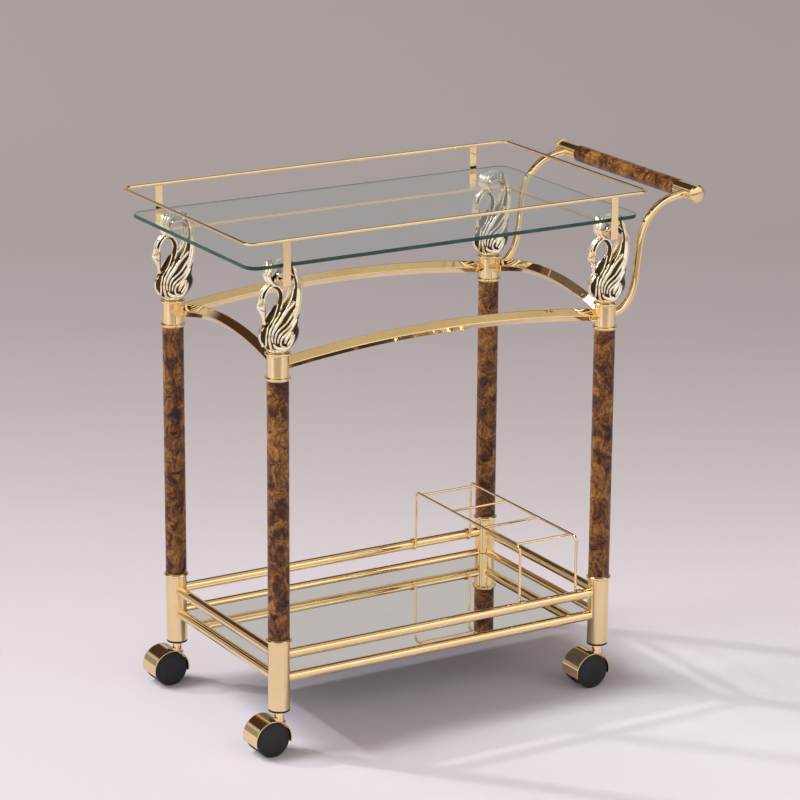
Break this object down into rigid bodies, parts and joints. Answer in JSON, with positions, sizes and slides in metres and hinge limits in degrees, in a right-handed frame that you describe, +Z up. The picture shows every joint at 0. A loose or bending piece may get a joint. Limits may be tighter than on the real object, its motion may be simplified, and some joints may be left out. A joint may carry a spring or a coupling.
{
  "type": "bar cart",
  "caption": "Swan bar cart: brass and burl posts on hooded casters, arched rails, glass top in a wire gallery, mirror shelf with bottle rack, curved push handle.",
  "frame": {"origin": "middle of the cart's outer box, on the floor", "axes": "+X along the cart towards the push handle, +Y across it towards the back of the picture, +Z up"},
  "size_m": [0.7836, 0.4016, 0.7796],
  "materials": {
    "polished_brass": "polished brass plate",
    "cast_champagne": "polished casting, pale champagne plate",
    "burl_lacquer": "burl pattern printed on tube under gloss lacquer",
    "clear_glass": "clear float glass, polished edge",
    "mirror": "silvered glass",
    "black_nylon": "matte black nylon",
    "axle_steel": "plain turned steel"
  },
  "bodies": {
    "frame": {"lower_collar_fl": "polished_brass", "burl_tube_fl": "burl_lacquer", "upper_collar_fl": "polished_brass", "swan_fl": "cast_champagne", "caster_bush_fl": "black_nylon", "lower_collar_fr": "polished_brass", "burl_tube_fr": "burl_lacquer", "upper_collar_fr": "polished_brass", "swan_fr": "cast_champagne", "caster_bush_fr": "black_nylon", "lower_collar_bl": "polished_brass", "burl_tube_bl": "burl_lacquer", "upper_collar_bl": "polished_brass", "swan_bl": "cast_champagne", "caster_bush_bl": "black_nylon", "lower_collar_br": "polished_brass", "burl_tube_br": "burl_lacquer", "upper_collar_br": "polished_brass", "swan_br": "cast_champagne", "caster_bush_br": "black_nylon", "arched_rail_front": "polished_brass", "guard_rail_front": "polished_brass", "shelf_rail_front": "polished_brass", "arched_rail_back": "polished_brass", "guard_rail_back": "polished_brass", "shelf_rail_back": "polished_brass", "arched_rail_left": "polished_brass", "guard_rail_left": "polished_brass", "shelf_rail_left": "polished_brass", "arched_rail_right": "polished_brass", "guard_rail_right": "polished_brass", "shelf_rail_right": "polished_brass", "mirror_shelf": "mirror", "glass_top": "clear_glass", "gallery_frame": "polished_brass", "bottle_rack": "polished_brass", "handle_arm_front": "polished_brass", "handle_arm_back": "polished_brass", "handle_bar": "polished_brass", "handle_sleeve": "burl_lacquer", "handle_cap_front": "polished_brass", "handle_cap_back": "polished_brass"},
    "swivel_fl": {"caster_hood_fl": "polished_brass", "caster_axle_fl": "axle_steel"},
    "wheel_front_fl": {"wheel_front_fl": "black_nylon"},
    "wheel_back_fl": {"wheel_back_fl": "black_nylon"},
    "swivel_fr": {"caster_hood_fr": "polished_brass", "caster_axle_fr": "axle_steel"},
    "wheel_front_fr": {"wheel_front_fr": "black_nylon"},
    "wheel_back_fr": {"wheel_back_fr": "black_nylon"},
    "swivel_bl": {"caster_hood_bl": "polished_brass", "caster_axle_bl": "axle_steel"},
    "wheel_front_bl": {"wheel_front_bl": "black_nylon"},
    "wheel_back_bl": {"wheel_back_bl": "black_nylon"},
    "swivel_br": {"caster_hood_br": "polished_brass", "caster_axle_br": "axle_steel"},
    "wheel_front_br": {"wheel_front_br": "black_nylon"},
    "wheel_back_br": {"wheel_back_br": "black_nylon"}
  },
  "joints": [
    {"name": "swivel_fl", "type": "hinge", "parent": "frame", "child": "swivel_fl", "pos_m": [-0.326, -0.164, 0.065], "axis": [0, 0, 1], "continuous": true},
    {"name": "spin_front_fl", "type": "hinge", "parent": "swivel_fl", "child": "wheel_front_fl", "pos_m": [-0.3455, -0.1765, 0.02659], "axis": [0, 1, 0], "continuous": true},
    {"name": "spin_back_fl", "type": "hinge", "parent": "swivel_fl", "child": "wheel_back_fl", "pos_m": [-0.3455, -0.1515, 0.02659], "axis": [0, 1, 0], "continuous": true},
    {"name": "swivel_fr", "type": "hinge", "parent": "frame", "child": "swivel_fr", "pos_m": [0.23, -0.164, 0.065], "axis": [0, 0, 1], "continuous": true},
    {"name": "spin_front_fr", "type": "hinge", "parent": "swivel_fr", "child": "wheel_front_fr", "pos_m": [0.2105, -0.1765, 0.02659], "axis": [0, 1, 0], "continuous": true},
    {"name": "spin_back_fr", "type": "hinge", "parent": "swivel_fr", "child": "wheel_back_fr", "pos_m": [0.2105, -0.1515, 0.02659], "axis": [0, 1, 0], "continuous": true},
    {"name": "swivel_bl", "type": "hinge", "parent": "frame", "child": "swivel_bl", "pos_m": [-0.326, 0.164, 0.065], "axis": [0, 0, 1], "continuous": true},
    {"name": "spin_front_bl", "type": "hinge", "parent": "swivel_bl", "child": "wheel_front_bl", "pos_m": [-0.3455, 0.1515, 0.02659], "axis": [0, 1, 0], "continuous": true},
    {"name": "spin_back_bl", "type": "hinge", "parent": "swivel_bl", "child": "wheel_back_bl", "pos_m": [-0.3455, 0.1765, 0.02659], "axis": [0, 1, 0], "continuous": true},
    {"name": "swivel_br", "type": "hinge", "parent": "frame", "child": "swivel_br", "pos_m": [0.23, 0.164, 0.065], "axis": [0, 0, 1], "continuous": true},
    {"name": "spin_front_br", "type": "hinge", "parent": "swivel_br", "child": "wheel_front_br", "pos_m": [0.2105, 0.1515, 0.02659], "axis": [0, 1, 0], "continuous": true},
    {"name": "spin_back_br", "type": "hinge", "parent": "swivel_br", "child": "wheel_back_br", "pos_m": [0.2105, 0.1765, 0.02659], "axis": [0, 1, 0], "continuous": true}
  ]
}
